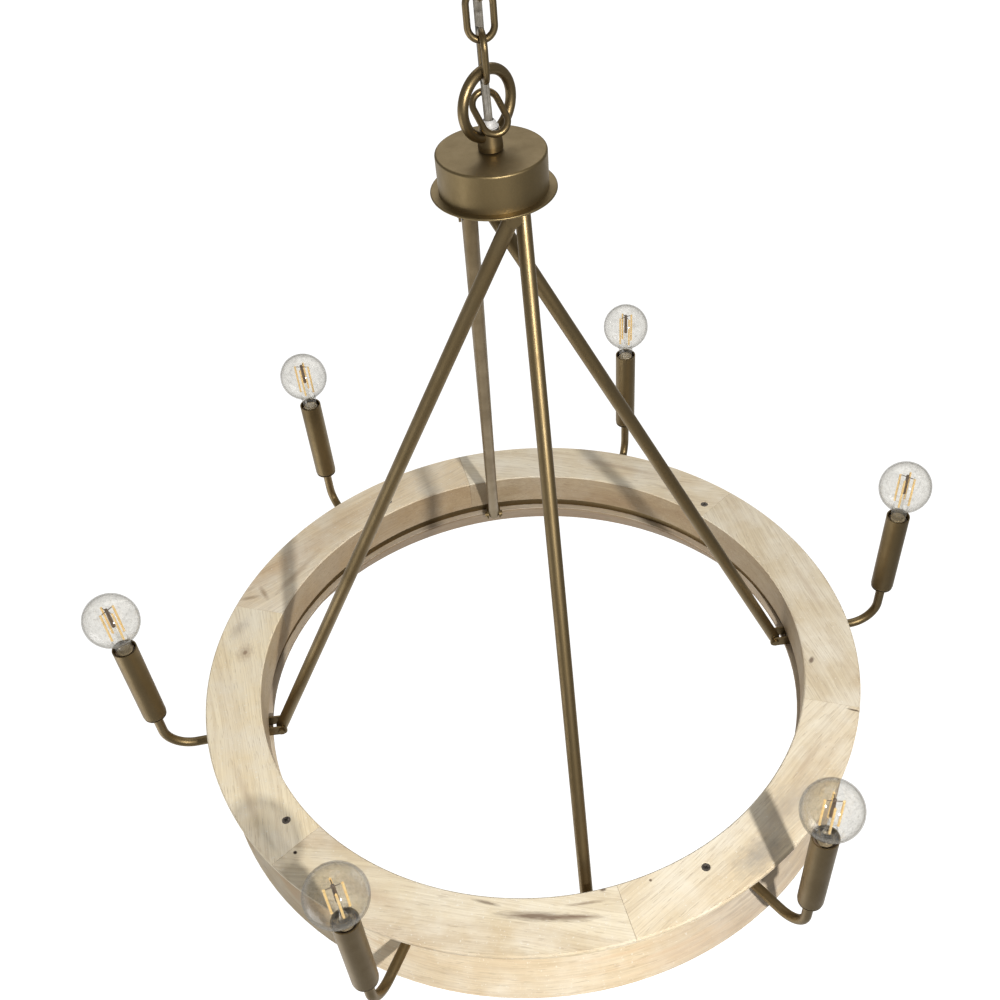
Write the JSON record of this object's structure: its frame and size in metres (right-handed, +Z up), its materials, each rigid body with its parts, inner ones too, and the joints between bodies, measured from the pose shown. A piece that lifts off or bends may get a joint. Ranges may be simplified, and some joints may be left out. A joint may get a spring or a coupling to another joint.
{
  "type": "wagon wheel chandelier",
  "caption": "Round hanging chandelier: a whitewashed wood rim on slanting brass rods from a hub, with candle lamps on bent arms, chain, cord and ceiling cup.",
  "frame": {"origin": "middle of the ceiling fitting, on the ceiling plane", "axes": "+Z up, along the chain; the rim lies level 803 mm below; +X along the first lamp arm; the picture looks from -Y"},
  "size_m": [0.863, 0.7659, 0.898],
  "materials": {
    "steel": "zinc-plated",
    "white_plastic": "gloss",
    "socket": "matte, dark brown",
    "cord": "matte, flat twin cord",
    "wood_upper": "whitewashed, open grain, matt",
    "wood_lower": "whitewashed, open grain, matt",
    "screw": "dark oxide",
    "glass": "clear",
    "bulb_base": "bright",
    "filament": "amber",
    "brass_chain": "aged, satin",
    "brass_sleeve": "aged, satin",
    "brass": "aged, satin"
  },
  "bodies": {
    "canopy": {"mounting_strap": "steel", "canopy_cup": "brass", "canopy_loop": "brass_chain", "canopy_bushing": "white_plastic", "cord": "cord"},
    "link_upper": {"chain_link_upper": "brass_chain"},
    "link_middle": {"chain_link_middle": "brass_chain"},
    "link_lower": {"chain_link_lower": "brass_chain"},
    "bulb_1": {"bulb_glass_1": "glass", "bulb_base_1": "bulb_base", "bulb_filament_1": "filament"},
    "bulb_2": {"bulb_glass_2": "glass", "bulb_base_2": "bulb_base", "bulb_filament_2": "filament"},
    "bulb_3": {"bulb_glass_3": "glass", "bulb_base_3": "bulb_base", "bulb_filament_3": "filament"},
    "bulb_4": {"bulb_glass_4": "glass", "bulb_base_4": "bulb_base", "bulb_filament_4": "filament"},
    "bulb_5": {"bulb_glass_5": "glass", "bulb_base_5": "bulb_base", "bulb_filament_5": "filament"},
    "bulb_6": {"bulb_glass_6": "glass", "bulb_base_6": "bulb_base", "bulb_filament_6": "filament"},
    "fixture": {"hub_loop": "brass_chain", "loose_link": "brass_chain", "hub_bushing": "white_plastic", "hub_cap": "brass", "hub_plate": "brass", "hub_brackets": "brass", "rim_brackets": "brass", "rod_1": "brass", "rod_2": "brass", "rod_3": "brass", "rod_4": "brass", "fasteners": "brass", "rim_band": "brass", "felloe_1": "wood_upper", "felloe_2": "wood_upper", "felloe_3": "wood_upper", "felloe_4": "wood_upper", "felloe_5": "wood_upper", "felloe_6": "wood_upper", "lower_rim": "wood_lower", "rim_screws": "screw", "arm_1": "brass", "arm_2": "brass", "arm_3": "brass", "arm_4": "brass", "arm_5": "brass", "arm_6": "brass", "sleeve_1": "brass_sleeve", "sleeve_2": "brass_sleeve", "sleeve_3": "brass_sleeve", "sleeve_4": "brass_sleeve", "sleeve_5": "brass_sleeve", "sleeve_6": "brass_sleeve", "sockets": "socket"}
  },
  "joints": [
    {"name": "canopy_swing", "type": "hinge", "parent": "canopy", "child": "link_upper", "pos_m": [0, 0, -0.0925], "axis": [1, 0, 0], "range_deg": [-20, 20], "deforming": ["cord"]},
    {"name": "upper_link_swing", "type": "hinge", "parent": "link_upper", "child": "link_middle", "pos_m": [0, 0, -0.1187], "axis": [0, 1, 0], "range_deg": [-20, 20], "deforming": ["cord"]},
    {"name": "middle_link_swing", "type": "hinge", "parent": "link_middle", "child": "link_lower", "pos_m": [0, 0, -0.1464], "axis": [1, 0, 0], "range_deg": [-20, 20], "deforming": ["cord"]},
    {"name": "hub_swing", "type": "hinge", "parent": "link_lower", "child": "fixture", "pos_m": [0, 0, -0.1741], "axis": [-0.2588, 0.9659, 0], "range_deg": [-15, 15], "deforming": ["cord"]},
    {"name": "bulb_turn_1", "type": "hinge", "parent": "fixture", "child": "bulb_1", "pos_m": [0.4045, 0, -0.65], "axis": [0, 0, 1], "continuous": true},
    {"name": "bulb_turn_2", "type": "hinge", "parent": "fixture", "child": "bulb_2", "pos_m": [0.19177, 0.35615, -0.65], "axis": [0, 0, 1], "continuous": true},
    {"name": "bulb_turn_3", "type": "hinge", "parent": "fixture", "child": "bulb_3", "pos_m": [-0.20225, 0.35031, -0.65], "axis": [0, 0, 1], "continuous": true},
    {"name": "bulb_turn_4", "type": "hinge", "parent": "fixture", "child": "bulb_4", "pos_m": [-0.40449, -0.00212, -0.65], "axis": [0, 0, 1], "continuous": true},
    {"name": "bulb_turn_5", "type": "hinge", "parent": "fixture", "child": "bulb_5", "pos_m": [-0.21135, -0.34489, -0.65], "axis": [0, 0, 1], "continuous": true},
    {"name": "bulb_turn_6", "type": "hinge", "parent": "fixture", "child": "bulb_6", "pos_m": [0.19239, -0.35582, -0.65], "axis": [0, 0, 1], "continuous": true}
  ]
}
